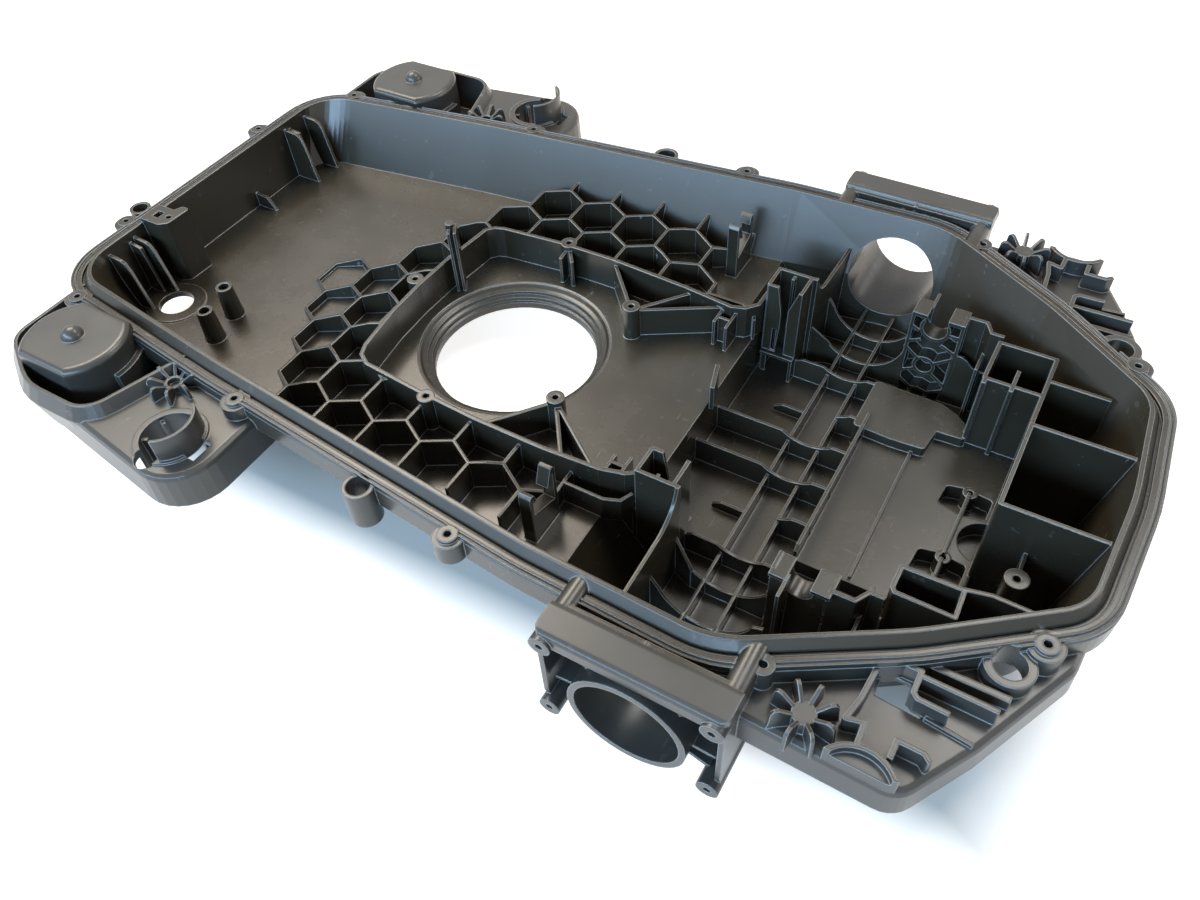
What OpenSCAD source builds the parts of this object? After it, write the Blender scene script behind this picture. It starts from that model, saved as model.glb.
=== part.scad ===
// Robotic mower lower cover, one moulded tray.
// X runs from the caster end (-) to the wheel end (+), Y is the width, Z is up.
// Units are millimetres.

/* [Display] */
// which sub-part is drawn

/* [Rim outline] */
// distance of the front inner rim edge ahead of the datum
front_x = 270.9; // [265:0.1:276]
// half width of the inner rim edge at the front corners
front_half = 107.7; // [104:0.1:112]
// inner radius of the front corners
front_r = 26; // [20:1:30]
// distance of the waist ahead of the datum
waist_x = 140; // [130:1:150]
// half width at the waist
waist_half = 125.2; // [124:0.1:127]
// distance of the side bend behind the datum
side_x = 64; // [58:1:70]
// half width at the side bend
side_half = 145.9; // [144:0.1:147]
// distance of the wheel corner behind the datum
wheel_x = 155; // [150:1:160]
// half width at the wheel corner
wheel_half = 149; // [147:0.1:151]
// inner radius of the wheel corners
wheel_r = 46; // [38:1:52]
// distance of the cheek bend behind the datum
cheek_x = 222; // [218:1:226]
// half width at the cheek bend
cheek_half = 108; // [106:0.1:110]
// distance of the tail corner behind the datum
tail_x = 279; // [276:0.1:282]
// half width at the tail corner
tail_half = 64; // [61:0.1:67]
// inner radius of the tail corners
tail_r = 24; // [18:1:28]
// distance of the rear inner rim edge behind the datum
rear_x = 283; // [281:0.1:285]
// radius of the gentle bends
bend_r = 150; // [90:5:200]

/* [Rim section] */
// height of the inner rim edge
rim_top = 73.3; // [72:0.1:75]
// width of the moulded rim ledge outside the inner edge
rim_w = 13; // [12:0.1:14]
// height of the flat ledge
ledge_z = 69; // [68:0.1:70]
// height of the bottom of the sealing groove
groove_z = 66.9; // [66:0.1:68]
// height of the underside of the ledge
ledge_low = 64.6; // [63:0.1:65.5]
// start of the groove outside the inner edge
groove_in = 5.4; // [5:0.1:6]
// width of the groove
groove_w = 1.7; // [1.2:0.1:2.2]
// height of the two ridges above the ledge
ridge_h = 1; // [0.6:0.1:1.4]
// width of one ridge
ridge_w = 0.8; // [0.6:0.1:1.2]
// distance between the two ridges
ridge_gap = 1.3; // [1:0.1:1.6]
// thickness of the outer skirt
skirt_t = 2.2; // [1.8:0.1:2.6]
// height of the lower edge of the outer skirt
skirt_z = 55; // [50:1:60]

/* [Shell] */
// wall thickness of the tray
wall = 2.6; // [2.2:0.1:3]
// thickness of both floors
floor_t = 3; // [2.6:0.1:3.4]
// height of the front floor
front_floor = 34; // [32:0.5:36]
// distance of the step between the floors behind the datum
step_x = 81; // [78:0.5:84]
// distance of the upper edge of the side ramps behind the datum
ramp_x0 = 68; // [66:0.5:70]
// distance of the lower edge of the side ramps behind the datum
ramp_x1 = 90; // [88:0.5:92]
// distance of the inner edge of the side ramps from the middle
ramp_y = 84; // [83:0.5:85]
// inward lean of the side walls at the front floor
side_lean = 17.8; // [14:0.1:18.5]
// inward lean of the rear side walls at the rear floor
rear_lean = 11; // [8:0.1:13]

/* [Screw bosses] */
// height of the rim boss tops
rim_boss_z = 70; // [69.5:0.1:71]
// outer diameter of a rim boss
rim_boss_d = 9.8; // [8.6:0.1:10.6]
// screw hole of a boss
screw_d = 3.6; // [3:0.1:4.2]
// radius of the lobe that carries a rim boss
lobe_r = 7.6; // [7:0.1:8.4]
// outer diameter of an inner boss
boss_d = 9.8; // [9:0.1:10.5]
// height of the inner boss tops
boss_z = 55; // [54:0.5:56]

/* [Honeycomb] */
// thickness of a moulded rib
rib_t = 1.6; // [1.4:0.1:2]
// distance between neighbouring upright ribs of the lattice
cell_x = 15; // [14.9:0.05:15.1]
// distance between two rows of the lattice
cell_y = 26.49; // [26.4:0.01:26.6]
// height of one zigzag
cell_rise = 8.6; // [8.4:0.1:8.8]
// height of the lattice tops
comb_z = 52; // [50:0.5:54]
// height of the lattice tops at the rear end
comb_low_z = 45; // [42:0.5:48]

/* [Blade opening] */
// distance of the blade axis ahead of the datum
blade_x = 37.5; // [36:0.5:39]
// sideways offset of the blade unit
blade_y = -10; // [-11:0.5:-9]
// radius of the blade opening
blade_r = 47; // [45:0.5:49]
// radius of the funnel at the floor
funnel_r = 54.5; // [53:0.5:56]
// depth of the funnel below the floor
funnel_h = 9; // [8:0.5:11]

/* [Wheel flange] */
// distance of the flange faces from the middle
flange_y = 184; // [182:0.5:186]
// distance of the wheel axis behind the datum
wheel_axis_x = 132.7; // [131:0.1:134]
// height of the wheel axis
wheel_axis_z = 36.1; // [35:0.1:37]
// outer radius of the wheel collar
collar_r = 27.95; // [27:0.05:29]
// radius of the wheel bore
bore_r = 24.8; // [24:0.1:25.6]
// screw spacing of the flange along X
flange_dx = 77.1; // [76:0.1:78]
// screw spacing of the flange along Z
flange_dz = 52.1; // [51:0.1:53]
// height of the lower flange screws
flange_low_z = 15.1; // [14.5:0.1:16]
// outer diameter of a flange boss
flange_boss_d = 10.4; // [9.4:0.1:11]
// height of the top plate of the flange
plate_z = 74.4; // [73.5:0.1:75.5]

/* [Caster decks] */
// distance of the caster axis ahead of the datum
caster_x = 222.3; // [221:0.1:224]
// distance of the caster axis from the middle
caster_y = 149.3; // [148:0.1:151]
// radius of the caster tower
tower_r = 29; // [28:0.5:30]
// half distance between the flats of the tower
tower_flat = 23; // [22:0.5:24]
// height of the tower top
tower_z = 76; // [75:0.5:77]
// radius of the dome on the tower
dome_r = 6; // [5:0.5:7]
// height of the well wall
well_z = 68; // [67:0.5:69]
// height of the socket deck
deck_z = 61; // [60:0.5:62]
// half width over the caster decks
deck_half = 194; // [190:0.5:195]
// height of the fin tops of the star on the caster deck
star_z = 69; // [67:0.5:72]
// radius over the fins of both stars
star_r = 13.4; // [12:0.1:14]
// radius of the hub of both stars
star_hub_r = 5; // [4.4:0.1:5.4]
// height of the lower edge of the deck skirts
deck_low = 40; // [36:1:46]

/* [Clips] */
// distance of the clip towers behind the datum
clip_x = 46.3; // [45:0.1:48]
// width of the clip towers
clip_w = 6.6; // [6:0.1:7.4]

/* [Step brackets] */
// distance of the bracket left wall behind the datum
bracket_x0 = 83.5; // [83:0.1:84]
// distance of the bracket right wall behind the datum
bracket_x1 = 102.5; // [101.5:0.1:103]
// distance of the bracket front plates from the middle
bracket_y0 = 67.6; // [66.5:0.1:69]
// distance of the bracket back wall from the middle
bracket_y1 = 83; // [82.5:0.1:84]
// height of the brackets
bracket_z = 66.5; // [65:0.5:68]
// height of the cross bar at the bracket foot
bracket_bar_z = 20; // [18:0.5:22]
// distance of the cross partitions behind the datum
screen_x = 105; // [104.6:0.1:106]
// height of the cross partitions at the side walls
screen_z = 50; // [48:0.5:52]
// radius of the hollow in the top edge of the cross partitions
screen_r = 20; // [18:0.5:21]

/* [Saddle towers] */
// distance of the saddle axis behind the datum
saddle_x = 172; // [171:0.5:173]
// height of the saddle axis
saddle_z = 52.3; // [51.5:0.1:53]
// inner radius of the saddle
saddle_r = 6.4; // [6:0.1:6.8]
// distance of the open face of the saddle towers from the middle
saddle_y = 89; // [88.6:0.1:89.4]
// depth of the saddle towers
saddle_depth = 10; // [9:0.5:11]
// height of the hub in the open face
hub_z = 25; // [24:0.5:26]
// inner radius of that hub
hub_r = 4.5; // [4:0.1:5]

/* [Rear cradles] */
// height of the flat rib tops of the motor cradle
cradle_z = 18.5; // [17:0.5:20]
// radius of the motor cradle
cradle_r = 22.6; // [22:0.1:23.5]
// radius of the taller cradle ribs
tall_r = 25.3; // [25:0.1:26]
// height of the long cross ribs
cross_z = 13; // [12:0.5:14]
// height of the battery floor
plateau_z = 12.4; // [11.5:0.1:13]
// height of the rear partitions
part_z = 60; // [58:0.5:62]
// height of the rear pocket walls
pocket_z = 69; // [67:0.5:70]

/* [Hidden] */
// list of the sub-parts of this design
// overlap that ties two bodies together
tie = 0.6;
// thickness of the plates of brackets, screens and partitions
plate_t = 1.8;
// length and width beyond which nothing of the tray lies
tray_l = 320;
tray_w = 120;
// colour of the moulded plastic
plastic = [0.21, 0.205, 0.2];
// corners of the inner rim edge on one side, as x, y, radius, steps
rim_corners = [
  [tail_x, tail_half, tail_r, 8],
  [cheek_x, cheek_half, bend_r, 2],
  [wheel_x, wheel_half, wheel_r, 6],
  [side_x, side_half, bend_r, 2],
  [-waist_x, waist_half, bend_r, 2],
  [-front_x, front_half, front_r, 10]
];
// rear middle corner of the rim
rim_back = [rear_x, 0, bend_r, 2];
// inward lean of the rear walls at the front floor level
mid_lean = rear_lean * (rim_top - front_floor) / (rim_top - floor_t);
// corners of the tray at the front floor
mid_corners = [
  [tail_x - mid_lean, tail_half - mid_lean / 2, tail_r, 8],
  [cheek_x - mid_lean, cheek_half - mid_lean, bend_r, 2],
  [wheel_x - mid_lean / 2, wheel_half - mid_lean, wheel_r, 6],
  [side_x, side_half - side_lean, bend_r, 2],
  [-waist_x, waist_half - side_lean, bend_r, 2],
  [1.4 - front_x, front_half - side_lean, front_r - 4, 10]
];
// rear middle corner at the front floor
mid_back = [rear_x - mid_lean, 0, bend_r, 2];
// corners of the tray at the rear floor
low_corners = [
  [tail_x - rear_lean, tail_half - rear_lean / 2, tail_r, 8],
  [cheek_x - rear_lean, cheek_half - rear_lean, bend_r, 2],
  [wheel_x - rear_lean / 2, wheel_half - rear_lean, wheel_r, 6],
  [side_x, side_half - side_lean - 1, bend_r, 2],
  [-waist_x, waist_half - side_lean - 1, bend_r, 2],
  [2 - front_x, front_half - side_lean - 1, front_r - 4, 10]
];
// rear middle corner at the rear floor
low_back = [rear_x - rear_lean, 0, bend_r, 2];

// unit vector along v
function unit(v) = v / norm(v);
// full ring of corners from one side and the rear middle
function full(side, back) = concat(
  [back],
  side,
  [for (i = [len(side) - 1:-1:0]) [side[i].x, -side[i].y, side[i][2], side[i][3]]]
);
// angle of the outward normal of the edge from a to b
function facing(a, b) = atan2(a.x - b.x, b.y - a.y);
// centre of the corner arc at b
function corner_mid(a, b, c, r) =
  b + unit(unit(a - b) + unit(c - b)) * r / sin(acos(unit(a - b) * unit(c - b)) / 2);
// the same turn between a half turn back and a half turn on
function half_turn(a) = a - 360 * round(a / 360);
// unit vector at angle a
function toward(a) = [cos(a), sin(a)];
// arc points of corner i of ring q, grown outward by t
function corner(q, i, t) =
  let (n = len(q), before = q[(i + n - 1) % n], after = q[(i + 1) % n])
  let (a = [before.x, before.y], b = [q[i].x, q[i].y], c = [after.x, after.y])
  let (from = facing(a, b), turn = half_turn(facing(b, c) - from))
  let (r = q[i][2], steps = q[i][3], m = corner_mid(a, b, c, r))
  [for (k = [0:steps]) m + (sign(turn) * r + t) * toward(from + turn * k / steps)];
// outline of ring q, grown outward by t
function outline(q, t) = [for (i = [0:len(q) - 1]) each corner(q, i, t)];
// ring of corners part of the way from p to q
function between(p, q, k) = [for (i = [0:len(p) - 1]) p[i] + (q[i] - p[i]) * k];

// full rings of corners at the rim and at both floors
rim_ring = full(rim_corners, rim_back);
mid_ring = full(mid_corners, mid_back);
low_ring = full(low_corners, low_back);
// height of the wall section at which the rim ledge starts
flare_z = 62;
// corners at that height
flare_ring = between(mid_ring, rim_ring, (flare_z - front_floor) / (rim_top - front_floor));
// height of the top of the outer slope of the rim
slope_z = rim_top - 0.7;

// body with straight flanks between stacked outlines, each level is z, ring, growth
module stack(levels) {
  rows = [for (l = levels) outline(l[1], l[2])];
  n = len(rows[0]);
  last = len(levels) - 1;
  polyhedron(
    points = [for (r = [0:last]) for (p = rows[r]) [p.x, p.y, levels[r][0]]],
    faces = concat(
      [[for (i = [0:n - 1]) i]],
      [[for (i = [n - 1:-1:0]) last * n + i]],
      [for (r = [0:last - 1]) for (i = [0:n - 1])
        [r * n + i, (r + 1) * n + i, (r + 1) * n + (i + 1) % n]],
      [for (r = [0:last - 1]) for (i = [0:n - 1])
        [r * n + i, (r + 1) * n + (i + 1) % n, r * n + (i + 1) % n]]
    )
  );
}

// band that follows the rim from t0 to t1 outside the inner edge
module rim_band(t0, t1, z0, z1) {
  translate([0, 0, z0])
    linear_extrude(height = z1 - z0)
      difference() {
        polygon(outline(rim_ring, t1));
        polygon(outline(rim_ring, t0));
      }
}

// straight rib between two points of a plan
module bar(a, b, t) {
  translate(a)
    rotate(atan2(b.y - a.y, b.x - a.x))
      translate([0, -t / 2])
        square([norm(b - a), t]);
}

// chain of straight ribs through the points of a plan
module chain(pts, t) {
  for (i = [0:len(pts) - 2])
    bar(pts[i], pts[i + 1], t);
  for (i = [1:len(pts) - 2])
    translate(pts[i])
      circle(d = t, $fn = 12);
}

// plan raised between two heights
module raise(z0, z1) {
  translate([0, 0, z0])
    linear_extrude(height = z1 - z0)
      children();
}

// upright plate along X with a side view drawn in X and Z, centred on y
module plate_x(y, t) {
  translate([0, y + t / 2, 0])
    rotate([90, 0, 0])
      linear_extrude(height = t)
        children();
}

// upright plate along Y with a side view drawn in Y and Z, centred on x
module plate_y(x, t) {
  translate([x - t / 2, 0, 0])
    rotate([90, 0, 90])
      linear_extrude(height = t)
        children();
}

// the same body on both sides
module both() {
  children();
  mirror([0, 1, 0])
    children();
}

// hollow of the tray above both floors
module cavity() {
  difference() {
    stack([
      [floor_t, low_ring, 0],
      [front_floor, mid_ring, 0],
      [rim_top, rim_ring, 0],
      [rim_top + 8, rim_ring, 0]
    ]);
    under_floor(0);
  }
}

// space below the front floor and the side ramps, set back by t from their upper faces
module under_floor(t) {
  // lean of the ramp seen from the side
  run = ramp_x1 - ramp_x0;
  fall = front_floor - floor_t;
  back_off = t * norm([run, fall]) / fall;
  top = front_floor - t * floor_t / wall;
  translate([-tray_l, -ramp_y + t, -1])
    cube([tray_l + step_x - t, 2 * (ramp_y - t), top + 1]);
  both()
    plate_x(ramp_y + tray_w / 2, tray_w)
      polygon([
        [-tray_l, -1],
        [-tray_l, top],
        [ramp_x0 - back_off + (front_floor - top) * run / fall, top],
        [ramp_x1 - back_off + (floor_t + 1) * run / fall, -1]
      ]);
  if (t > 0)
    plate_x(0, 2 * ramp_y + 1)
      polygon([[-tray_l, -1], [-tray_l, top], [ramp_x0 - 4 * t, top], [ramp_x0 - 4 * t, -1]]);
}

// tray with its outer walls and the flared rim
module tray_block() {
  difference() {
    stack([
      [0, low_ring, wall],
      [front_floor, mid_ring, wall],
      [flare_z, flare_ring, wall],
      [ledge_low + 1, rim_ring, groove_in],
      [ledge_z, rim_ring, groove_in],
      [slope_z, rim_ring, wall],
      [rim_top, rim_ring, wall - 0.5]
    ]);
    under_floor(wall);
  }
}

// ledge, groove, ridges and skirt of the rim
module rim_profile() {
  rim_band(groove_in - 2, rim_w, ledge_low, groove_z);
  rim_band(groove_in + groove_w, rim_w - 0.3, groove_z - tie, ledge_z);
  for (t = [rim_w - 0.3, rim_w - ridge_w - ridge_gap - 0.3])
    rim_band(t - ridge_w, t, ledge_z - tie, ledge_z + ridge_h);
  rim_band(rim_w - skirt_t, rim_w, skirt_z, ledge_low + tie);
}

// places of the rim screws on the far side
rim_spots = [
  [-front_x - 15.7, 58.2],
  [-front_x + 15.5, 121.9],
  [-116.6, 139.6],
  [29.1, 156.9],
  [176.2, 149.1],
  [rear_x - 13.6, 87.8]
];
// places of the two guide tubes
tube_spot = [-25.3, 153.5];
// outer diameter of a guide tube
tube_d = 15.6;
// bore of a guide tube
tube_bore = 11.6;
// height of the guide tubes
tube_z = 68;
// place of the single tube lug at the front
lug_spot = [-front_x - 21.1, -43];
// outer diameter of the tube lug
lug_d = 13;
// bore of the tube lug
lug_bore = 9.4;

// lobes and bosses outside the rim
module rim_bosses() {
  for (s = [-1, 1])
    for (p = rim_spots)
      translate([p.x, s * p.y, 0]) {
        if (p.x != rim_spots[4].x)
          translate([0, 0, skirt_z + 2])
            cylinder(r = lobe_r, h = ledge_low + 1.7 - skirt_z);
        translate([0, 0, skirt_z])
          cylinder(d = rim_boss_d, h = rim_boss_z - skirt_z);
      }
  for (s = [-1, 1])
    translate([tube_spot.x, s * tube_spot.y, skirt_z - 9])
      cylinder(d = tube_d, h = tube_z - skirt_z + 9);
  translate([lug_spot.x, lug_spot.y, skirt_z - 4])
    cylinder(d = lug_d, h = tube_z - skirt_z + 4);
  raise(skirt_z, ledge_low + 1)
    translate([lug_spot.x, lug_spot.y - lug_d / 2])
      square([lug_d, lug_d]);
}

// screw holes and tube bores outside the rim
module rim_holes() {
  for (s = [-1, 1])
    for (p = rim_spots)
      translate([p.x, s * p.y, skirt_z - 1])
        cylinder(d = screw_d, h = rim_boss_z - skirt_z + 2);
  for (s = [-1, 1])
    translate([tube_spot.x, s * tube_spot.y, skirt_z - 10])
      cylinder(d = tube_bore, h = tube_z - skirt_z + 11);
  translate([lug_spot.x, lug_spot.y, skirt_z - 5])
    cylinder(d = lug_bore, h = tube_z - skirt_z + 6);
}

// x of upright rib k of the lattice
function comb_x(k) = cell_x * k - 88;
// y of the zigzag vertex at column k of row n
function comb_y(k, n) = 78 - cell_y * n + ((k + n) % 2 == 0 ? cell_rise : 0);
// first column of the lattice in row n
function comb_start(n) = n < 3 ? -(n + 1) : n - 9;
// last column of the lattice
comb_last = 9;
// points of the enclosure wall in plan
enclosure = concat(
  [[81, 75.7], [80.8, 62.4], [75.6, 56.3], [68, 53.8], [38, 57.3], [-11, 60.4], [-48, 60], [-86, 56.5]],
  [[-92, 54.5], [-96, 50], [-100, 14.5], [-101, -11], [-100, -36.5], [-96, -66]],
  [[-93, -73], [-86, -77.4], [-48, -81], [-11, -83.4], [31, -84], [62, -82.4], [74.6, -79.3], [81, -75]]
);

// plan of the honeycomb ribs
module comb_plan() {
  offset(r = 0.25)
    offset(delta = -0.25)
      difference() {
        union() {
          for (n = [-1:7])
            for (k = [min(comb_start(n), comb_start(n - 1)):comb_last - 1])
              bar([comb_x(k), comb_y(k, n)], [comb_x(k + 1), comb_y(k + 1, n)], rib_t);
          for (n = [-2:7])
            for (k = [comb_start(n):comb_last])
              if ((k + n) % 2 != 0)
                bar([comb_x(k), comb_y(k, n) + rib_t / 2],
                    [comb_x(k), comb_y(k, n + 1) - rib_t / 2], rib_t);
        }
        polygon(enclosure);
      }
}

// honeycomb with its sloping top
module honeycomb() {
  intersection() {
    raise(front_floor - 1, comb_z)
      comb_plan();
    plate_x(0, tray_l)
      polygon([
        [-190, front_floor - 2],
        [-190, front_floor - 0.6],
        [-104, comb_z + 1],
        [4, comb_z + 1],
        [52, comb_low_z],
        [60, comb_low_z],
        [60, front_floor - 2]
      ]);
  }
}

// bosses inside the tray
inner_spots = [[-43.2, 62.2], [18.2, 28.5], [18.2, -51.7], [-42.3, -82.2], [-106, -7.8]];
// height of the slender post by the enclosure
post_z = 79;

// wall around the blade unit, with its bosses and ribs
module enclosure_ribs() {
  raise(front_floor - 1, boss_z)
    offset(r = 0.2)
      chain(enclosure, 1.8);
  for (p = inner_spots)
    translate([p.x, p.y, front_floor - 1])
      cylinder(d = boss_d, h = boss_z - front_floor + 1);
  raise(front_floor - 1, boss_z - 3)
    offset(r = 0.2)
      union() {
        bar([18.2, 28.5], [-10, 60], rib_t);
        bar([18.2, 28.5], [41, 56.5], rib_t);
        bar([18.2, 28.5], [63, 54.5], rib_t);
        bar([18.2, -51.7], [-7, -83], rib_t);
        bar([18.2, -51.7], [41, -83.5], rib_t);
        bar([18.2, -51.7], [59, -82], rib_t);
        bar([-43.2, 62.2], [-34, 50], rib_t);
        bar([-43.2, 62.2], [-42, 50], rib_t);
      }
  for (s = [-1, 1])
    raise(front_floor - 1, boss_z - 7)
      chain([[48, s * 79.5 - 13.5], [70, s * 79.5 - 13.5], [78, s * 76.5 - 13.5],
          [81, s * 70 - 13.5]], rib_t);
  // short fins beside both rear corners
  raise(front_floor - 1, boss_z - 4)
    for (s = [-1, 1]) {
      bar([63, s * 67 - 13], [63, s * 55 - 13], rib_t);
      bar([71, s * 67 - 13], [71, s * 53 - 13], rib_t);
      bar([63, s * 60 - 13], [71, s * 60 - 13], rib_t);
    }
  // leaf fin at the step
  raise(front_floor - 1, boss_z - 6)
    bar([79, 14], [84, -3], rib_t + 0.8);
  // slender post with two fins
  translate([-97, 20, front_floor - 1])
    cylinder(d = 5, h = post_z - front_floor + 1);
  raise(front_floor - 1, post_z - 3) {
    bar([-99.5, 22.5], [-94, 14], rib_t);
    bar([-96.5, 24.5], [-91, 16], rib_t);
  }
}

// stepped funnel around the blade opening
module funnel() {
  translate([-blade_x, blade_y, 0])
    rotate_extrude()
      polygon([
        [blade_r, front_floor - funnel_h - 4],
        [funnel_r + 2, front_floor - funnel_h - 4],
        [funnel_r + 4, front_floor - floor_t + 1],
        [funnel_r + 4, front_floor - 0.4],
        [funnel_r, front_floor - 0.4],
        [funnel_r - 1.6, front_floor - 2],
        [funnel_r - 4, front_floor - 3],
        [funnel_r - 4, front_floor - 5],
        [funnel_r - 6, front_floor - 6],
        [funnel_r - 6, front_floor - funnel_h + 0.6],
        [blade_r, front_floor - funnel_h]
      ]);
}

// two hollow standoffs and the pad of the front drain
standoffs = [[-203.7, -65.8], [-198.3, -87]];
// centre of the front drain
drain = [-243.2, -75.5];
// radius of the front drain
drain_r = 10.5;

// end of the front fins inside the wall
nose_x = -front_x - 4.1;

// standoffs, drain pad, fins and post on the front floor
module front_floor_parts() {
  for (p = standoffs)
    translate([p.x, p.y, front_floor - 1])
      cylinder(d1 = 12, d2 = 9.4, h = boss_z - front_floor + 1);
  translate([drain.x, drain.y, front_floor - 1])
    cylinder(r = 18, h = 1.8);
  // fins that brace the front wall
  for (s = [-1, 1]) {
    for (y = [66.5, 86])
      plate_x(s * y, 2)
        polygon([
          [nose_x, front_floor - 1],
          [nose_x + 24, front_floor - 1],
          [nose_x + 19, 62],
          [nose_x + 17, 66.4],
          [nose_x + 14, 68],
          [nose_x, 69]
        ]);
    plate_x(s * 70.5, 2)
      polygon([
        [nose_x, front_floor - 1],
        [nose_x + 17, front_floor - 1],
        [nose_x + 13, 66],
        [nose_x, 68]
      ]);
  }
  plate_x(27, 2)
    polygon([
      [nose_x, front_floor - 1],
      [nose_x + 21, front_floor - 1],
      [nose_x + 15, 42],
      [nose_x, 44]
    ]);
  // tall front post with its hollow foot
  raise(front_floor - 1, post_z - 3)
    offset(r = 1.2)
      difference() {
        polygon([
          [nose_x - 1, -56],
          [nose_x + 17.4, -56],
          [nose_x + 21.6, -53],
          [nose_x + 22.2, -38],
          [nose_x + 19, -38],
          [nose_x + 16.4, -43],
          [nose_x - 1, -43]
        ]);
        translate([nose_x + 7, -53.4])
          square([7, 8]);
      }
}

// clip towers at both side walls
module clips() {
  both() {
    // inner tongue with its bent top
    plate_y(clip_x, clip_w)
      polygon([[101, front_floor - 1], [101, 68], [102.4, 70.2], [104.4, 69.8], [108, 60],
          [106.4, 59.4], [103.2, 66], [103.2, front_floor - 1]]);
    // outer tongue
    plate_y(clip_x, clip_w)
      polygon([[122.4, front_floor - 1], [122.4, 65.6], [121, 67.4], [118.8, 66.6], [117.4, 62],
          [119.2, 61.4], [120.2, 64], [120.2, front_floor - 1]]);
    // sloping plate and both webs between the tongues
    plate_y(clip_x, clip_w)
      polygon([[102, 45], [102, 47], [121, 54], [121, 52]]);
    for (s = [-1, 1])
      plate_y(clip_x + s * (clip_w - rib_t) / 2, rib_t)
        polygon([[102, front_floor - 1], [102, 46], [121, 53], [121, front_floor - 1]]);
  }
}

// brackets on the step between both floors, with the cross partitions
module brackets() {
  both() {
    // back wall, side walls and the rib between them
    raise(floor_t - 1, bracket_z) {
      bar([bracket_x0 - plate_t / 2, bracket_y1], [screen_x + plate_t / 2, bracket_y1], plate_t);
      bar([bracket_x0, bracket_y0], [bracket_x0, bracket_y1], plate_t);
      bar([bracket_x1, bracket_y0], [bracket_x1, bracket_y1], plate_t);
    }
    raise(floor_t - 1, bracket_z - 2)
      bar([(bracket_x0 + bracket_x1) / 2, bracket_y1 - 4],
          [(bracket_x0 + bracket_x1) / 2, bracket_y1], rib_t);
    // front plates with the gap for the strap
    plate_x(bracket_y0, plate_t)
      difference() {
        union() {
          polygon([
            [bracket_x0, floor_t - 1],
            [bracket_x0, bracket_z],
            [bracket_x0 + 6, bracket_z],
            [bracket_x0 + 9, bracket_z - 18],
            [bracket_x0 + 9, bracket_z - 28],
            [bracket_x0 + 7.6, bracket_bar_z - plate_t],
            [bracket_x0 + 3, bracket_bar_z - plate_t],
            [bracket_x0 + 3, floor_t - 1]
          ]);
          polygon([
            [bracket_x1 - 6, bracket_bar_z - plate_t],
            [bracket_x1 - 6, bracket_z - 14],
            [bracket_x1 - 1.2, bracket_z],
            [bracket_x1 + plate_t / 2, bracket_z],
            [bracket_x1 + plate_t / 2, bracket_bar_z - plate_t]
          ]);
        }
        translate([bracket_x0 + 5, bracket_bar_z + 1])
          square([2.2, 16]);
      }
    // cross bar and post at the foot
    raise(bracket_bar_z - plate_t, bracket_bar_z)
      translate([bracket_x0, bracket_y0 - 4])
        square([bracket_x1 - bracket_x0 + plate_t / 2, 4]);
    raise(floor_t - 1, bracket_bar_z)
      bar([bracket_x1, bracket_y0 - 4], [bracket_x1, bracket_y0], plate_t);
    // partition from the bracket to the side wall
    plate_y(screen_x, plate_t)
      difference() {
        polygon([
          [bracket_y1 - plate_t / 2, floor_t - 1],
          [bracket_y1 - plate_t / 2, bracket_z],
          [bracket_y1 + screen_r, bracket_z],
          [bracket_y1 + screen_r, screen_z],
          [side_half - 3, screen_z - 2],
          [side_half - 3, floor_t - 1]
        ]);
        translate([bracket_y1 + screen_r + 1, screen_z + screen_r])
          circle(r = screen_r);
      }
  }
}

// side view of a cradle rib from x0 to x1
module cradle_view(x0, x1, r, top) {
  difference() {
    polygon([[x0, floor_t - 1], [x0, top - 3], [x0 + 5, top], [x1, top], [x1, floor_t - 1]]);
    translate([wheel_axis_x + 0.8, wheel_axis_z])
      circle(r = r);
  }
}

// side view of the taller cradle ribs from x0 to x1
module tall_view(x0, x1) {
  difference() {
    polygon([[x0, floor_t - 1], [x0, 17.8 + max(0, 116 - x0) * 1.4], [116, 17.8],
        [wheel_axis_x, 17.8], [x1, 31], [x1, floor_t - 1]]);
    translate([wheel_axis_x + 0.8, wheel_axis_z])
      circle(r = tall_r);
  }
}

// ribs that carry the wheel motors
module cradles() {
  for (y = [-13.7, 13.7])
    plate_x(y, rib_t)
      cradle_view(76, 158, cradle_r, cradle_z);
  for (y = [-40, 40])
    plate_x(y, rib_t)
      cradle_view(140, 158, cradle_r, cradle_z);
  both() {
    plate_x(40, rib_t)
      cradle_view(104, 122, 3, 9);
    plate_x(70.6, rib_t)
      cradle_view(bracket_x1, 156.5, cradle_r, cradle_z - 1);
    // ribs that rise to the bracket and to the saddle tower
    plate_x(saddle_y + 0.9, rib_t)
      tall_view(116, saddle_x0);
    plate_x(112, rib_t)
      tall_view(screen_x, 163);
    translate([bracket_x1, bracket_y1 + 1, 0])
      rotate(atan2(saddle_y - bracket_y1, 116 - bracket_x1))
        plate_x(0, rib_t)
          polygon([[0, floor_t - 1], [0, front_floor],
              [norm([saddle_y - bracket_y1, 116 - bracket_x1]) + 1, 18],
              [norm([saddle_y - bracket_y1, 116 - bracket_x1]) + 1, floor_t - 1]]);
  }
  // long cross ribs
  plate_y(123.6, rib_t)
    polygon([[-134, floor_t - 1], [-134, cross_z], [134, cross_z], [134, floor_t - 1]]);
  plate_y(140.5, rib_t)
    polygon([[-134, floor_t - 1], [-134, cross_z], [134, cross_z], [134, floor_t - 1]]);
}

// both ends of a saddle tower along X
saddle_x0 = saddle_x - 13.7;
saddle_x1 = saddle_x + 14.8;
// wall of the saddle ring and of the lattice
ring_t = 1.9;

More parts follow.
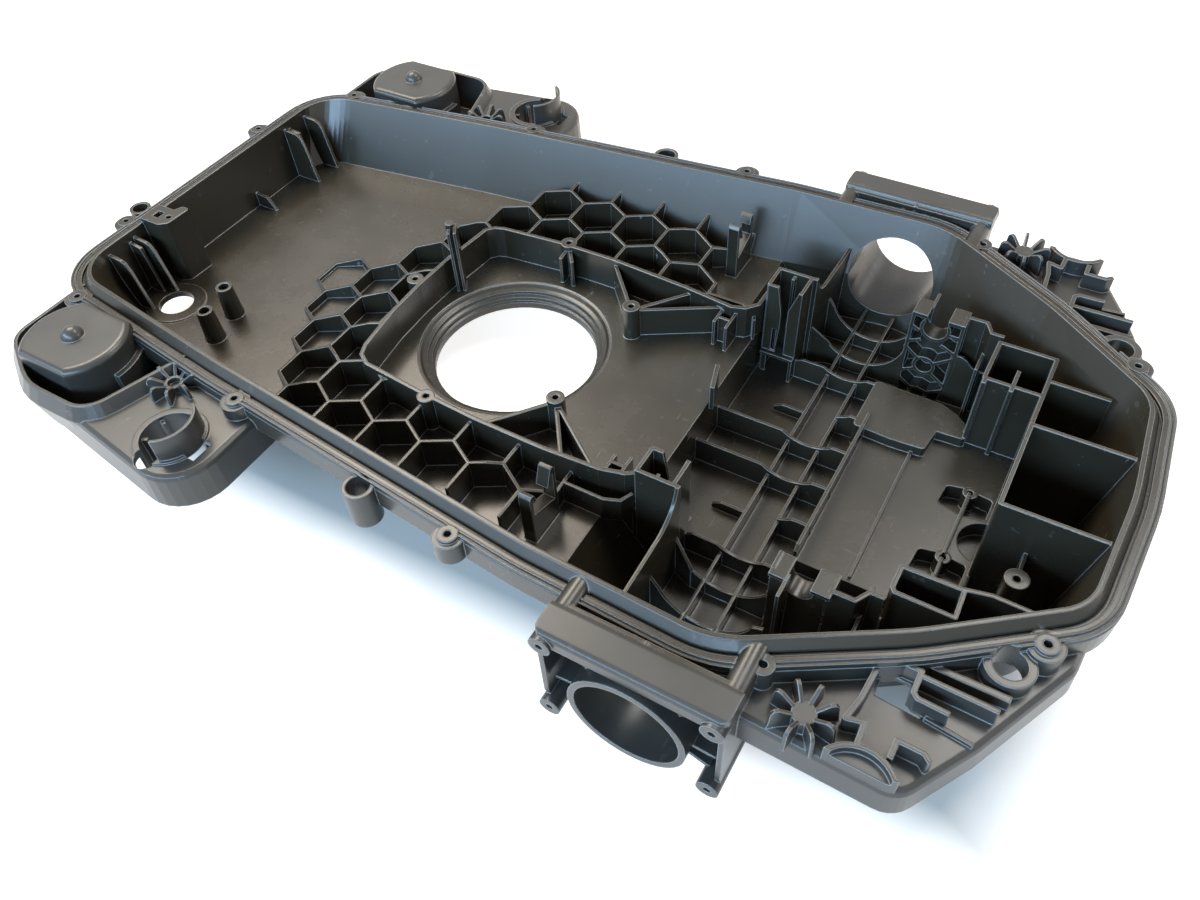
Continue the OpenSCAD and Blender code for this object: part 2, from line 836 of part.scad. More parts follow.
// open lattice of the tower face, drawn in X and Z
module saddle_view() {
  difference() {
    union() {
      // upright edges and cross bands
      bar([saddle_x0 + ring_t / 2, floor_t - 1], [saddle_x0 + ring_t / 2, part_z], ring_t);
      bar([saddle_x1 - ring_t / 2, hub_z], [saddle_x1 - ring_t / 2, part_z], ring_t);
      bar([saddle_x1 - 3, floor_t - 1], [saddle_x1 - ring_t / 2, hub_z + 1], ring_t);
      bar([saddle_x0, hub_z + 13.5], [saddle_x - 6, saddle_z - 9.6], ring_t);
      bar([saddle_x + 5, saddle_z - 9.5], [saddle_x1 - 1, hub_z + 14], ring_t);
      bar([saddle_x0, saddle_z - 1], [saddle_x - 8, saddle_z - 4], ring_t);
      bar([saddle_x + 7, saddle_z - 1.5], [saddle_x1 - 1, saddle_z - 1.5], ring_t);
      // saddle ring
      translate([saddle_x, saddle_z])
        circle(r = saddle_r + ring_t);
      // hub with its four ribs
      translate([saddle_x - 1, hub_z])
        circle(r = hub_r + ring_t);
      bar([saddle_x0, hub_z + 10.5], [saddle_x - 5, hub_z + 4], ring_t);
      bar([saddle_x0, hub_z - 8.6], [saddle_x - 6, hub_z - 4], ring_t);
      bar([saddle_x + 4, hub_z + 3.4], [saddle_x1 - 1, hub_z + 11], ring_t);
      bar([saddle_x + 3, hub_z - 3.6], [saddle_x1 - 2, hub_z - 10.5], ring_t);
      // fan at the foot
      chain([
        [saddle_x0, hub_z - 12.6],
        [saddle_x - 5.2, hub_z - 18.6],
        [saddle_x - 1, hub_z - 17.4],
        [saddle_x + 4.3, hub_z - 19],
        [saddle_x1 - 2, hub_z - 13.5]
      ], ring_t);
      bar([saddle_x - 5.2, floor_t - 1], [saddle_x - 5.2, hub_z - 18.6], ring_t);
      bar([saddle_x + 4.3, floor_t - 1], [saddle_x + 4.3, hub_z - 19], ring_t);
    }
    saddle_gap();
    translate([saddle_x - 1, hub_z])
      circle(r = hub_r);
  }
}

// open space of the saddle, drawn in X and Z
module saddle_gap() {
  translate([saddle_x, saddle_z])
    circle(r = saddle_r);
  translate([saddle_x - saddle_r + 0.4, saddle_z])
    square([2 * saddle_r - 0.8, part_z]);
}

// towers with the open saddles on top
module saddles() {
  both() {
    plate_x(saddle_y + saddle_depth / 2, saddle_depth)
      saddle_view();
    // back plate and both shoulders
    plate_x(saddle_y + saddle_depth - ring_t / 2, ring_t)
      difference() {
        translate([saddle_x0 + 0.3, floor_t - 1])
          square([saddle_x1 - saddle_x0 - 3, part_z - floor_t - 0.5]);
        saddle_gap();
      }
    raise(part_z - 2.4, part_z - 0.2)
      for (x = [saddle_x0 + 0.2, saddle_x + saddle_r - 0.7])
        translate([x, saddle_y + 0.2])
          square([saddle_x1 - saddle_x - saddle_r + 0.4 - (x < saddle_x ? 0.8 : 0), saddle_depth + 3]);
    // fin towards the side wall
    raise(floor_t - 1, part_z - 1)
      bar([saddle_x - 5.5, saddle_y + saddle_depth - 1], [saddle_x - 5.5, saddle_y + 22], rib_t);
    // wing towards the box
    plate_x(saddle_y + 1, rib_t)
      polygon([
        [saddle_x1 - 3, floor_t - 1],
        [saddle_x1 - 3, hub_z + 14.4],
        [saddle_x1 + 3, hub_z + 14],
        [saddle_x1 + 6, hub_z + 12.4],
        [saddle_x1 + 9.5, hub_z + 9],
        [saddle_x1 + 13, hub_z + 7.8],
        [box_x0 - 3.5, hub_z + 7.8],
        [box_x0 - 3, hub_z + 16],
        [box_x0 + 1, hub_z + 18],
        [box_x0 + 1, floor_t - 1]
      ]);
    raise(floor_t - 1, hub_z + 20)
      bar([199.2, saddle_y - 12], [199.2, saddle_y + 17], rib_t);
  }
}

// distance of the corner boxes behind the datum
box_x0 = 206.4;
box_x1 = 234.3;
// half width of the rear pocket
pocket_y = 26.5;
// screw places in the battery floor
battery_spots = [[219.9, -22.7], [219.9, 22.7]];
// boss beside the rear pocket
rear_spot = [252.4, -44.5];

// partitions around the battery and the rear pocket
module partitions() {
  raise(floor_t - 1, part_z)
    offset(r = 0.2)
      union() {
        // far corner box
        chain([[box_x0 - 0.7, 57], [box_x0 - 0.7, 86], [box_x1, 86], [box_x1, 69], [264, 69]], rib_t);
        bar([box_x0 - 0.7, 57], [box_x1, 57], rib_t);
        bar([box_x1, 69], [box_x1, pocket_y], rib_t);
        bar([219.8, 57], [219.8, 69], rib_t);
        for (x = [box_x0, 219.8])
          bar([x, 57], [x, 53], rib_t);
        // near corner box
        chain([[box_x0 + 0.9, -72], [box_x0 + 0.9, -84], [box_x0 + 2.4, -86],
            [box_x1 + 0.4, -86.4], [box_x1, -71], [245, -68.6], [264, -69]], rib_t);
        bar([box_x0 + 0.9, -72], [box_x1, -71.5], rib_t);
        both()
          chain([[saddle_x1 - 2, 98], [196, 98], [200, 91], [box_x0, 91]], rib_t);
      }
  raise(floor_t - 1, pocket_z)
    offset(r = 0.2)
      chain([
        [rear_x - 2, pocket_y],
        [box_x1, pocket_y],
        [box_x1, -pocket_y],
        [rear_x - 2, -pocket_y]
      ], rib_t);
  raise(floor_t - 1, 45)
    bar([219.8, -71.5], [219.8, -58], rib_t);
  battery_floor();
  translate([rear_spot.x, rear_spot.y, floor_t - 1])
    cylinder(d = 11, h = 46 - floor_t + 1);
  raise(floor_t - 1, 44)
    bar(rear_spot, [rear_spot.x, -pocket_y], rib_t);
}

// raised battery floor with its pockets and screw bosses
module battery_floor() {
  difference() {
    raise(floor_t - 1, plateau_z)
      polygon([[157.4, -58], [157.4, 47], [192, 52], [206, 57.4], [box_x1, 57.4],
          [box_x1 + 0.3, -72], [207, -72], [206, -58]]);
    raise(floor_t, plateau_z + 1) {
      for (p = battery_spots)
        translate(p)
          offset(r = 1.5)
            offset(delta = -1.5)
              polygon([[-13, p.y > 0 ? -13 : -14.5], [-12, 0], [-4, 1.8], [11.6, 0.4],
                  [11.6, p.y > 0 ? -14 : -14.8], [-1, p.y > 0 ? -16 : -15]]);
      // curved recess towards the rear pocket
      translate([box_x1 + 1, -5.6])
        circle(r = 13);
    }
  }
  for (p = battery_spots) {
    translate([p.x, p.y, floor_t - 1])
      cylinder(d = 7.6, h = plateau_z + 0.6 - floor_t + 1);
    raise(floor_t - 1, plateau_z - 0.2)
      bar([p.x, p.y], [p.x, p.y - 15.5], rib_t);
  }
  // raised corner of the battery floor
  raise(floor_t - 1, cradle_z)
    offset(r = 1.5)
      offset(delta = -1.5)
        polygon([[151, 35.4], [172, 34.2], [190.4, 35.2], [192.2, 50.7], [207, 51.6], [207, 60],
            [199, 67], [189, 71.5], [151, 72.5]]);
  // battery stop and the low rib beside it
  plate_y(156.8, plate_t)
    polygon([[-58, floor_t - 1], [-58, cradle_z + 0.6], [-55, cradle_z + 3], [44, cradle_z + 3],
        [46, cradle_z + 1], [46, floor_t - 1]]);
  plate_y(184.4, rib_t)
    polygon([[-56, floor_t - 1], [-56, plateau_z + 1.8], [36, plateau_z + 1.8], [36, floor_t - 1]]);
  // rib along the battery floor to the near box
  raise(floor_t - 1, plateau_z + 2.2)
    bar([219.6, -84], [219.6, 22.7], rib_t);
}

// corners of the caster deck, as x, y, radius, steps
deck_ring = [
  [-104.8, 100, 5, 2],
  [-104.8, deck_half + 4, 24, 8],
  [-226, deck_half - 14.5, 40, 3],
  [-258, 165, 30, 3],
  [-272, 148, 16, 3],
  [-272, 100, 5, 2]
];
// corners of the well around the tower
well_ring = [
  [-166, 100, 5, 2],
  [-166, 127, 40, 2],
  [-182, 180.5, 15, 6],
  [-226, 180.5, 40, 3],
  [-262, 160, 14, 4],
  [-262, 100, 5, 2]
];
// centre of the ring socket
socket = [-134.5, 169.8];
// outer radius of the ring socket
socket_r = 17.3;
// centre of the star of fins on the caster deck
star_spot = [-158.6, 143];
// thickness of the deck walls
deck_t = 2;
// rounding of the upper edges of decks and tower
edge_r = 3.5;

// section of half width r up to height z with a rounded upper edge
module round_section(r, z) {
  translate([0, deck_low])
    square([r, z - edge_r - deck_low]);
  translate([0, deck_low])
    square([r - edge_r, z - deck_low]);
  translate([r - edge_r, z - edge_r])
    circle(r = edge_r);
}

// caster tower, grown by t
module tower_body(t) {
  translate([-caster_x, caster_y, 0])
    intersection() {
      rotate_extrude()
        round_section(tower_r + t, tower_z + t);
      plate_y(0, 2 * tower_r + 10) {
        round_section(tower_flat + t, tower_z + t);
        mirror([1, 0])
          round_section(tower_flat + t, tower_z + t);
      }
    }
}

// body with a rounded upper edge over ring q
module soft_deck(q, z0, z1) {
  stack([[z0, q, 0.8], [z1 - 3, q, 0.1], [z1 - 1, q, -0.8], [z1, q, -2.8]]);
}

// caster deck with its well, tower and socket
module caster_side() {
  difference() {
    union() {
      soft_deck(deck_ring, deck_low, deck_z);
      stack([[deck_low + 1, well_ring, deck_t], [deck_z - 1, well_ring, deck_t + 4],
          [well_z, well_ring, deck_t]]);
      // lip of the socket
      raise(deck_low, deck_z + 1.4)
        translate(socket)
          circle(r = socket_r + 1.6);
    }
    difference() {
      stack([[deck_low - 1, deck_ring, 0.8 - deck_t], [deck_z - deck_t - 1, deck_ring, -deck_t - 0.6]]);
      raise(deck_low - 2, deck_z)
        offset(r = deck_t - 0.1)
          polygon(outline(well_ring, 0));
      raise(deck_low - 2, deck_z)
        translate(socket)
          circle(r = socket_r);
    }
    stack([[deck_low + deck_t, well_ring, -0.2], [well_z + 1, well_ring, 0.1]]);
    translate([socket.x, socket.y, deck_low - 1])
      cylinder(r = socket_r - deck_t, h = deck_z - deck_low + 4);
    // round end of the keyhole and the slot beside the ring
    raise(deck_low + 3, deck_z + 3)
      translate(socket) {
        translate([0, 15.8])
          circle(r = 6.6);
        translate([12.8, -6.3])
          square([9.2, 12.4]);
      }
  }
  difference() {
    tower_body(0);
    translate([0, 0, -1])
      tower_body(-wall);
  }
  translate([-caster_x, caster_y, tower_z - 0.5])
    sphere(r = dome_r);
  // curved ledge on the tower
  raise(deck_low + 1, deck_z + 2)
    translate([-caster_x, caster_y])
      difference() {
        circle(r = tower_r + 3.4);
        circle(r = tower_r - 1);
        rotate(-20)
          translate([-50, -50])
            square([100, 38]);
        translate([-50, 4])
          square([100, 50]);
        translate([-50, -50])
          square([50, 100]);
      }
  // upright side of the ring socket with its inner ribs
  raise(deck_z - 2, tower_z)
    translate(socket)
      intersection() {
        difference() {
          circle(r = socket_r - 0.2);
          circle(r = socket_r - deck_t + 0.2);
        }
        polygon([[0, 0], [30, -54], [60, 0], [30, 54]]);
      }
  raise(deck_low, deck_z - 1)
    translate(socket)
      for (a = [25, -50, 150, 205])
        rotate(a)
          translate([socket_r - 5, -1])
            square([4, 2]);
  star(star_spot, deck_z, star_z, 3.4);
}

// hub with eight upright fins at p, between the deck z0 and the fin tops z1
module star(p, z0, z1, bore) {
  translate([p.x, p.y, 0]) {
    difference() {
      translate([0, 0, z0 - 1])
        cylinder(r = star_hub_r, h = z1 - z0 - 3);
      translate([0, 0, z0 + 1])
        cylinder(r = bore, h = z1 - z0);
    }
    for (k = [0:7])
      rotate(45 * k + 10)
        plate_x(0, rib_t)
          polygon([
            [star_hub_r - 0.8, z0 - 1],
            [star_hub_r - 0.8, z1 - 4],
            [star_r - 3.5, z1],
            [star_r - 1.5, z1],
            [star_r - 0.2, z1 - 1.6],
            [star_r + 0.8, z0 - 1]
          ]);
  }
}

// corners of the rear deck, as x, y, radius, steps
tail_ring = [
  [286, 60, 5, 2],
  [284, 86, 16, 3],
  [260, 136, 40, 3],
  [240, 169.5, 13, 5],
  [166, 168, 5, 2],
  [166, 120, 5, 2],
  [262, 60, 5, 2]
];
// height of the rear deck
tail_z = 58;
// height of the fences on the rear deck
fence_z = 67;
// centre of the drain ring
tail_drain = [259.5, 101];

// rear outer deck with its star, ring and walls
module tail_side() {
  difference() {
    soft_deck(tail_ring, skirt_z - 13, tail_z);
    stack([[skirt_z - 14, tail_ring, 0.8 - deck_t], [tail_z - deck_t, tail_ring, -deck_t - 0.6]]);
    // deep slot between the fences
    raise(skirt_z - 14, tail_z + 1)
      polygon([[217.6, 134], [217.6, 123], [228.8, 123], [229.4, 131.4], [236, 133.6], [236, 135.4]]);
  }
  star([197.5, 158.4], tail_z, 70, 0.01);
  translate([tail_drain.x, tail_drain.y, tail_z - 1])
    cylinder(r = 10.4, h = fence_z - tail_z);
  // curved wall over the outer corner, with its lower floor
  intersection() {
    union() {
      raise(tail_z - 1, fence_z)
        translate([223.5, 177])
          difference() {
            circle(r = 17);
            circle(r = 14.8);
          }
      raise(tail_z - 1, fence_z - 4)
        translate([223.5, 177])
          circle(r = 15.4);
    }
    raise(tail_z - 2, fence_z + 1)
      polygon(outline(tail_ring, -0.6));
  }
  raise(tail_z - 1, fence_z)
    offset(r = 0.3) {
      // walls beside the star
      chain([[215, 128], [214, 143], [211.8, 153.2], [218.8, 151.4], [219.2, 161]], rib_t);
      // stepped fence
      chain([[219.6, 120.4], [230.6, 120.6], [230.6, 130.8], [232.6, 132.6], [245, 133.2]], rib_t);
      bar([230.6, 122.6], [261, 123.4], rib_t);
      chain([[231.6, 160.2], [231.6, 152.4], [242, 152.6], [244.8, 155]], rib_t);
    }
  raise(tail_z - 1, tail_z + 2)
    bar([237.7, 134.8], [257, 137], rib_t);
  raise(tail_z - 1, fence_z - 3)
    bar([231, 114.6], [264, 114.6], 3);
}

// screws of the wheel flange as x, z
flange_spots = [for (i = [-0.5, 0.5]) for (k = [0, 1]) [wheel_axis_x - 0.35 + i * flange_dx,
    flange_low_z + k * flange_dz]];
// inner edge of the flange top plate
plate_y0 = 165;
// outer edge of the flange top plate
plate_y1 = 182;
// both ends of the flange top plate
plate_x0 = wheel_axis_x - 43.3;
plate_x1 = wheel_axis_x + 43.3;

// bearing flange for one wheel, on the far side
module flange_side() {
  // collar
  translate([wheel_axis_x, 128, wheel_axis_z])
    rotate([-90, 0, 0])
      cylinder(r = collar_r, h = flange_y - 128);
  for (p = flange_spots)
    translate([p.x, 130, p[1]])
      rotate([-90, 0, 0])
        cylinder(d = flange_boss_d, h = flange_y - 130);
  // top plate and the box behind it
  intersection() {
    raise(plate_z - 12, plate_z + 1)
      offset(r = 5)
        translate([plate_x0 + 5, plate_y0 - 5])
          square([plate_x1 - plate_x0 - 10, plate_y1 - plate_y0]);
    plate_y((plate_x0 + plate_x1) / 2, plate_x1 - plate_x0 + 2)
      offset(r = 2.6)
        translate([plate_y0 + 2.6, plate_z - 7.8])
          square([plate_y1 - plate_y0 - 5.2, 5.2]);
  }
  raise(61.5, 64)
    polygon([[90.6, 140], [178, 140], [174, plate_y0 + 2], [90.6, plate_y0 + 2]]);
  raise(62, 69)
    for (x = [126, 132.5, 139])
      bar([x, plate_y0 - 4], [x, plate_y0 + 1], rib_t);
  // side plates
  for (x = [plate_x0 + 2, plate_x1 - 2])
    plate_y(x, 2.4)
      polygon([[150, flange_low_z - 3], [178, flange_low_z - 3], [plate_y1 - 1, flange_low_z + 8],
          [plate_y1 - 1, 70], [150, 70]]);
  // back plate around the collar
  plate_x(164, 2.4)
    polygon([[93.8, flange_low_z], [170.9, flange_low_z], [170.9, 72], [93.8, 72]]);
  // gussets
  intersection() {
    translate([60, 163, 0])
      cube([150, 14, 90]);
    translate([wheel_axis_x, 0, wheel_axis_z])
      rotate([90, 0, 0])
        translate([0, 0, -190])
          linear_extrude(height = 60)
            for (a = [40, 90, 140, 186, 354, 337])
              rotate(a)
                translate([collar_r - 1.5, -rib_t / 2])
                  square([a > 180 ? 12 : a == 90 ? 10 : 22, rib_t]);
  }
}

// hollows of the wheel flange
module flange_holes() {
  translate([wheel_axis_x, 110, wheel_axis_z])
    rotate([-90, 0, 0])
      cylinder(r = bore_r, h = flange_y - 100);
  for (p = flange_spots)
    translate([p.x, flange_y - 18, p[1]])
      rotate([-90, 0, 0])
        cylinder(d = screw_d, h = 20);
  // open underside of the top plate
  translate([100, plate_y0 + 2, plate_z - 12])
    cube([65, plate_y1 - plate_y0 - 3.6, 10]);
}

// everything that stands outside the tray
module outside() {
  rim_profile();
  rim_bosses();
  both() {
    caster_side();
    tail_side();
    flange_side();
  }
}

// everything that stands inside the tray
module inside() {
  honeycomb();
  enclosure_ribs();
  front_floor_parts();
  clips();
  brackets();
  cradles();
  saddles();
  partitions();
}

// shift that brings the middle of the part over the datum
middle = (lug_d / 2 - lug_spot.x - max([for (p = outline(rim_ring, rim_w)) p.x])) / 2;

module lower_cover() {
  color(plastic)
    translate([middle, 0, 0])
      difference() {
        union() {
          difference() {
            union() {
              tray_block();
              outside();
            }
            cavity();
            translate([-blade_x, blade_y, 0])
              cylinder(r = funnel_r + 1, h = rim_top);
          }
          funnel();
          intersection() {
            inside();
            stack([
              [0, low_ring, wall / 2],
              [front_floor, mid_ring, wall / 2],
              [rim_top, rim_ring, wall / 2],
              [rim_top + 10, rim_ring, wall / 2]
            ]);
          }
        }
        rim_holes();
        both()
          flange_holes();
        for (p = inner_spots)
          translate([p.x, p.y, front_floor + 2])
            cylinder(d = screw_d, h = boss_z - front_floor);
        translate([nose_x + 18.4, -48.6, front_floor + 20])
          cylinder(d = screw_d, h = post_z);
        for (p = standoffs)
          translate([p.x, p.y, front_floor - floor_t - 1])
            cylinder(d = 6.2, h = boss_z);
        translate([drain.x, drain.y, front_floor - floor_t - 1])
          cylinder(r = drain_r, h = 12);
        for (s = [-1, 1])
          translate([tail_drain.x, s * tail_drain.y, tail_z - 10])
            cylinder(r = 6.8, h = 30);
        for (p = battery_spots)
          translate([p.x, p.y, floor_t + 1])
            cylinder(d = 3.2, h = plateau_z);
        translate([rear_spot.x, rear_spot.y, floor_t + 6])
          cylinder(d = screw_d, h = 46);
        // space under the side ramps
        intersection() {
          under_floor(wall);
          both()
            translate([ramp_x0 - 12, ramp_y + 0.01, -2])
              cube([ramp_x1 - ramp_x0 + 24, 60, front_floor]);
        }
      }
}

lower_cover();
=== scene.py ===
import bpy
from mathutils import Matrix, Vector

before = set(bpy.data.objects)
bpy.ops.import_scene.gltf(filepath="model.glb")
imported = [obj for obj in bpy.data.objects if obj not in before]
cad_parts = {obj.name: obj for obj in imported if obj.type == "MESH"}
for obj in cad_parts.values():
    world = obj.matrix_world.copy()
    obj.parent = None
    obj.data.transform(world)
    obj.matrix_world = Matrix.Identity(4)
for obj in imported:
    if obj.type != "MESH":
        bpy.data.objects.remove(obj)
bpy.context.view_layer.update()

# The cover is one injection moulding of dark, warm grey plastic with a satin
# skin. Mould texture, dust and light scuffs from handling break the gloss of
# the tray, its outer decks are rougher, and the moulded edges are smoother,
# with a painted highlight on them.
tray_dark = (0.022, 0.0185, 0.0125, 1)
tray_light = (0.03, 0.0255, 0.0175, 1)
deck_grey = (0.042, 0.0395, 0.035, 1)
dust_brown = (0.13, 0.118, 0.098, 1)
scuff_grey = (0.3, 0.3, 0.31, 1)
# painted highlight: the light grey that the rounded edges are tinted towards
painted_edge_highlight_grey = (0.36, 0.36, 0.35, 1)
edge_radius = 0.0012
wall_lean = 0.46

# each stretch of the rim on one side: y at its start, its slope and the x of its start
rim_stretches = (
    (0.1208, 0.1337, -0.2709),
    (0.1383, 0.1015, -0.14),
    (0.16, -0.612, 0.162),
    (0.119, -0.77, 0.23),
)


class Value:
    """A socket that can be used in a Python expression."""

    def __init__(self, tree, socket):
        self.tree = tree
        self.socket = socket

    def math(self, operation, a, b=0.0):
        node = self.tree.nodes.new("ShaderNodeMath")
        node.operation = operation
        for slot, value in zip(node.inputs, (a, b)):
            if isinstance(value, Value):
                self.tree.links.new(value.socket, slot)
            else:
                slot.default_value = value
        return Value(self.tree, node.outputs[0])

    def __add__(self, other):
        return self.math("ADD", self, other)

    def __radd__(self, other):
        return self.math("ADD", other, self)

    def __sub__(self, other):
        return self.math("SUBTRACT", self, other)

    def __rsub__(self, other):
        return self.math("SUBTRACT", other, self)

    def __mul__(self, other):
        return self.math("MULTIPLY", self, other)

    def __rmul__(self, other):
        return self.math("MULTIPLY", other, self)

    def __truediv__(self, other):
        return self.math("DIVIDE", self, other)


class Shader:
    """The nodes of a material or world, added one call at a time."""

    def __init__(self, owner):
        owner.use_nodes = True
        self.owner = owner
        self.tree = owner.node_tree
        self.tree.nodes.clear()

    def add(self, kind, settings=None, output=0, **inputs):
        """Add a node; an input is named by its socket, or i0, i1 and so on by its number."""
        node = self.tree.nodes.new("ShaderNode" + kind)
        for key, value in (settings or {}).items():
            if key == "stops":
                ramp = node.color_ramp
                while len(ramp.elements) < len(value):
                    ramp.elements.new(0.5)
                for element, (place, level) in zip(ramp.elements, value):
                    element.position = place
                    element.color = (level, level, level, 1)
            else:
                setattr(node, key, value)
        for key, value in inputs.items():
            numbered = key[0] == "i" and key[1:].isdigit()
            slot = node.inputs[int(key[1:]) if numbered else key.replace("_", " ")]
            if isinstance(value, Value):
                self.tree.links.new(value.socket, slot)
            else:
                slot.default_value = value
        if node.outputs:
            return Value(self.tree, node.outputs[output])

    def split(self, vector):
        return [self.add("SeparateXYZ", output=axis, Vector=vector) for axis in range(3)]

    def rise(self, value, low, high):
        return self.add("ValToRGB", {"stops": ((low, 0.0), (high, 1.0))}, Fac=value)

    def tint(self, amount, under, over):
        return self.add("Mix", {"data_type": "RGBA"}, output=2, i0=amount, i6=under, i7=over)


plastic = Shader(bpy.data.materials.new("moulded_plastic"))
place = plastic.add("TexCoord", output=3)
x, y, _ = plastic.split(place)


def speckle(scale, detail, roughness, vector=place):
    return plastic.add("TexNoise", Vector=vector, Scale=scale, Detail=detail, Roughness=roughness)


# the outer decks begin at the rim
rim_y = None
for start_y, slope, start_x in rim_stretches:
    stretch = start_y + slope * (x - start_x)
    rim_y = stretch if rim_y is None else rim_y.math("MINIMUM", rim_y, stretch)
outer = plastic.rise(y.math("ABSOLUTE", y) - rim_y + 0.5, 0.496, 0.504)

# mould texture, cloudy flow of the plastic, dust
fine = speckle(1500.0, 1.0, 0.5)
grit = speckle(420.0, 3.0, 0.65)
cloud = speckle(11.0, 5.0, 0.65)
dust = speckle(38.0, 5.0, 0.6)

# scuffs: short pale strokes on patches that hands and tools have rubbed, and small nicks
strokes = []
for turn, squeeze in (((0.3, 0.0, 0.5), (34.0, 260.0, 120.0)), ((0.0, 0.4, -0.7), (300.0, 40.0, 150.0))):
    stroked = plastic.add("Mapping", Vector=place, Rotation=turn, Scale=squeeze)
    strokes.append(speckle(1.0, 4.0, 0.6, stroked))
rubbed = plastic.rise(speckle(17.0, 3.0, 0.6), 0.5, 0.66)
wear = plastic.rise(x.math("MAXIMUM", *strokes), 0.68, 0.76) * rubbed
nick = plastic.rise(speckle(130.0, 2.0, 0.5), 0.7, 0.73)

# rounded edges get a painted highlight and a smoother finish, and dust settles on faces that look up
soft = plastic.add("Bevel", {"samples": 12}, Radius=edge_radius)
flat = plastic.add("NewGeometry", output=3)
bend = plastic.add("VectorMath", {"operation": "DOT_PRODUCT"}, output=1, i0=soft, i1=flat)
edge_polish_and_highlight = plastic.rise(1.0 - bend, 0.04, 0.3)
_, _, flat_z = plastic.split(flat)
level = flat_z * 0.5 + 0.5
settled = plastic.rise(dust, 0.35, 0.8) * plastic.rise(level, 0.75, 0.98)

# the tray's leaning walls are polished as one smooth face, so all of a wall leans alike in the light
leaning = plastic.add("ValToRGB", {"stops": ((0.1, 0.0), (0.15, 1.0), (0.45, 1.0), (0.5, 0.0))}, Fac=flat_z)
leaning = leaning * (1.0 - outer)
soft_x, soft_y, soft_z = plastic.split(soft)
flatness = x.math("SQRT", 1.0 - soft_z * soft_z)
drawn = plastic.add("CombineXYZ", X=soft_x, Y=soft_y, Z=soft_z + leaning * (wall_lean * flatness - soft_z))
drawn = plastic.add("VectorMath", {"operation": "NORMALIZE"}, i0=drawn)

colour = plastic.tint(outer, plastic.tint(cloud, tray_dark, tray_light), deck_grey)
colour = plastic.tint(settled * 0.06, colour, dust_brown)
colour = plastic.tint(wear * 0.8 + nick * 0.06, colour, scuff_grey)
# painted highlight: the rounded edges are tinted light grey
colour = plastic.tint(edge_polish_and_highlight * 0.85, colour, painted_edge_highlight_grey)
roughness = 0.23 - 0.06 * edge_polish_and_highlight + 0.05 * dust + 0.04 * settled + 0.05 * outer + 0.1 * wear
texture = plastic.add("Bump", Height=0.5 * fine + 0.5 * grit, Strength=0.2, Distance=0.0002, Normal=drawn)
skin = plastic.add("BsdfPrincipled", Base_Color=colour, IOR=1.5, Roughness=roughness, Normal=texture)
plastic.add("OutputMaterial", Surface=skin)
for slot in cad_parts["lower_cover"].material_slots:
    slot.material = plastic.owner

# The studio is a pale floor that the camera and the gloss see as white, with
# the cover's shadow on it, in a room that they see as white too. From below,
# the floor lets the view and the light of the lowest lamp through.
footprint = (0.288, 0.152)
blade_opening = (-0.052, 0.01, 0)
floor_colour = (0.62, 0.56, 0.5, 1)
floor_glow = 0.86
room_light = 0.13

bpy.ops.object.select_all(action="DESELECT")
bpy.ops.mesh.primitive_plane_add(size=6, location=(0, 0, -0.0005))
floor = bpy.context.object
floor.name = "floor"
pale = Shader(bpy.data.materials.new("pale_floor"))
ground = pale.add("TexCoord", output=3)
ground_x, ground_y, _ = pale.split(ground)


def looked_at(shader):
    """1 for what the camera or a reflection sees, 0 for what only lights."""
    seen = shader.add("LightPath", output=0)
    return seen.math("MAXIMUM", seen, shader.add("LightPath", output=3))


# the ground glows outside the footprint and under the blade opening, and is dark behind the small holes
along = ground_x.math("ABSOLUTE", ground_x) / footprint[0]
across = ground_y.math("ABSOLUTE", ground_y) / footprint[1]
clear = pale.rise(along.math("MAXIMUM", along, across) * 0.5, 0.45, 0.53)
off = pale.add("VectorMath", {"operation": "DISTANCE"}, output=1, i0=ground, i1=blade_opening)
hole = pale.add("ValToRGB", {"stops": ((0.62, 1.0), (0.72, 0.0))}, Fac=off * 10.0)
glow = looked_at(pale) * floor_glow * clear.math("MAXIMUM", clear, hole)
from_below = pale.add("NewGeometry", output=6)
see_through = from_below.math("MAXIMUM", from_below, pale.add("LightPath", output=1))
card = pale.add("BsdfPrincipled", Base_Color=floor_colour, Roughness=0.9, Alpha=1.0 - see_through,
                Emission_Color=glow, Emission_Strength=1.0)
pale.add("OutputMaterial", Surface=card)
floor.data.materials.append(pale.owner)

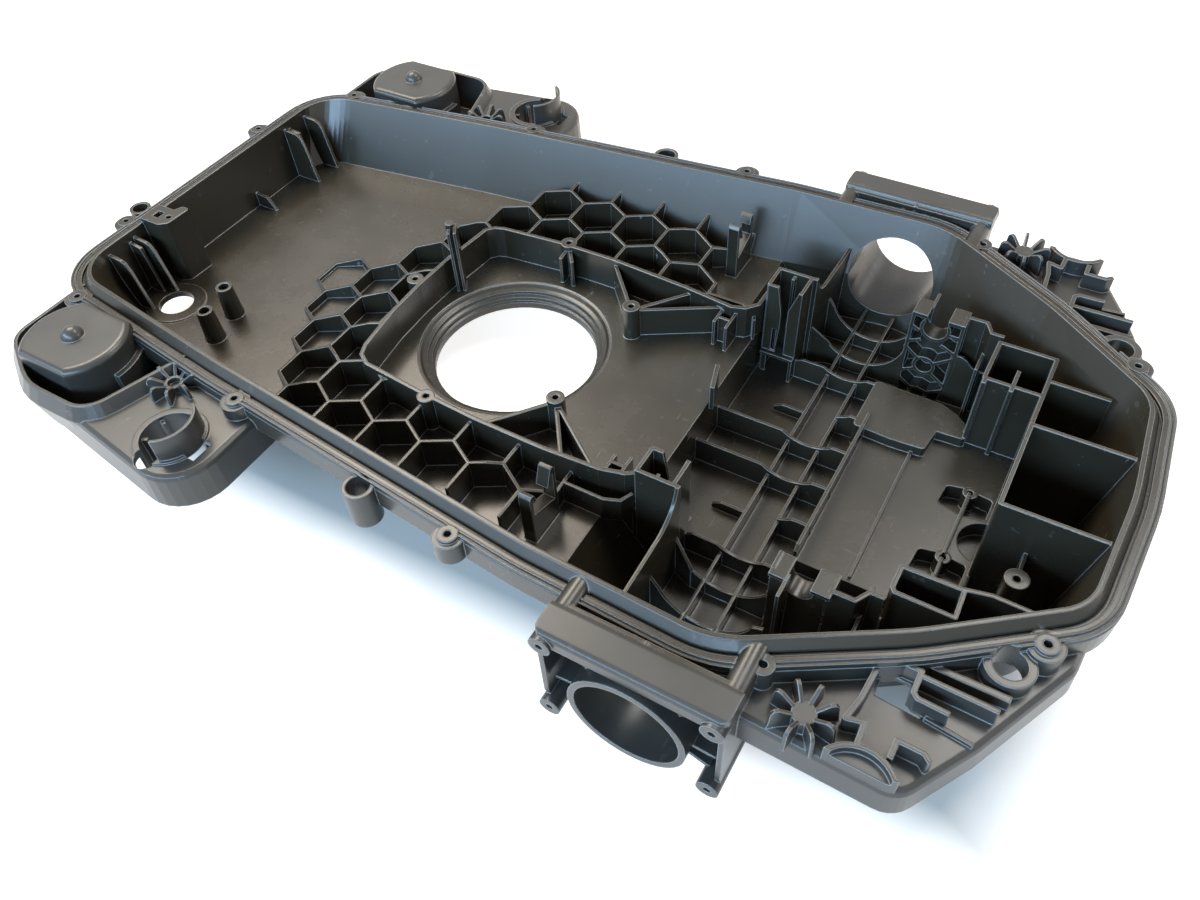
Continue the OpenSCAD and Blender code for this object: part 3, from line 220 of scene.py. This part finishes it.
room = Shader(bpy.data.worlds.new("studio"))
lit = room.add("Background", Color=(0.95, 0.97, 1.0, 1), Strength=room_light)
white = room.add("Background", Color=(1, 1, 1, 1), Strength=1.0)
room.add("OutputWorld", Surface=room.add("MixShader", i0=looked_at(room), i1=lit, i2=white))
bpy.context.scene.world = room.owner

# Large soft lamps stand round the cover: a warm one high beyond the front, a
# daylight one over the far rear, a long cool one low on the near side, a
# weak one at the rear and one below for the underside.
for name, stand, target, size, power, light_colour in (
        ("overhead", (-0.9, 0.35, 1.4), (0, 0, 0), (1.0, 0.7), 29, (1.0, 0.9, 0.76)),
        ("window", (0.45, 0.8, 1.6), (0.1, 0, 0), (0.7, 0.6), 14, (1.0, 0.97, 0.92)),
        ("cool_side", (-0.25, -1.65, 0.85), (0, 0, 0.05), (3.0, 0.45), 78, (0.42, 0.69, 1.0)),
        ("below", (0.1, -0.1, -1.2), (0, 0, 0), (1.4, 1.0), 12, (1.0, 1.0, 1.0)),
        ("far_side", (1.5, 1.0, 0.6), (0, 0, 0.05), (1.0, 0.4), 8, (1.0, 0.96, 0.9))):
    bpy.ops.object.light_add(type="AREA", location=stand)
    lamp = bpy.context.object
    lamp.name = name
    lamp.data.shape = "RECTANGLE"
    lamp.data.size, lamp.data.size_y = size
    lamp.data.energy = power
    lamp.data.color = light_colour
    lamp.rotation_euler = (Vector(target) - Vector(stand)).to_track_quat("-Z", "Y").to_euler()

bpy.context.scene.view_settings.view_transform = "Standard"

# The camera stands where the photograph was taken, above the near rear side.
# Its place and turn come from mirrored pairs of bosses on the cover.
stand = (0.2311, -0.3360, 0.4150)
right = Vector((0.86300, 0.50312, -0.04585))
upward = Vector((-0.35313, 0.66564, 0.65744))
back = Vector((0.36129, -0.55117, 0.75211))
bpy.ops.object.camera_add()
camera = bpy.context.object
turned = Matrix((right, upward, back)).transposed().to_4x4()
camera.matrix_world = Matrix.Translation(stand) @ turned
camera.data.lens = 29.38
camera.data.sensor_width = 36
camera.data.clip_start = 0.01
bpy.context.scene.camera = camera
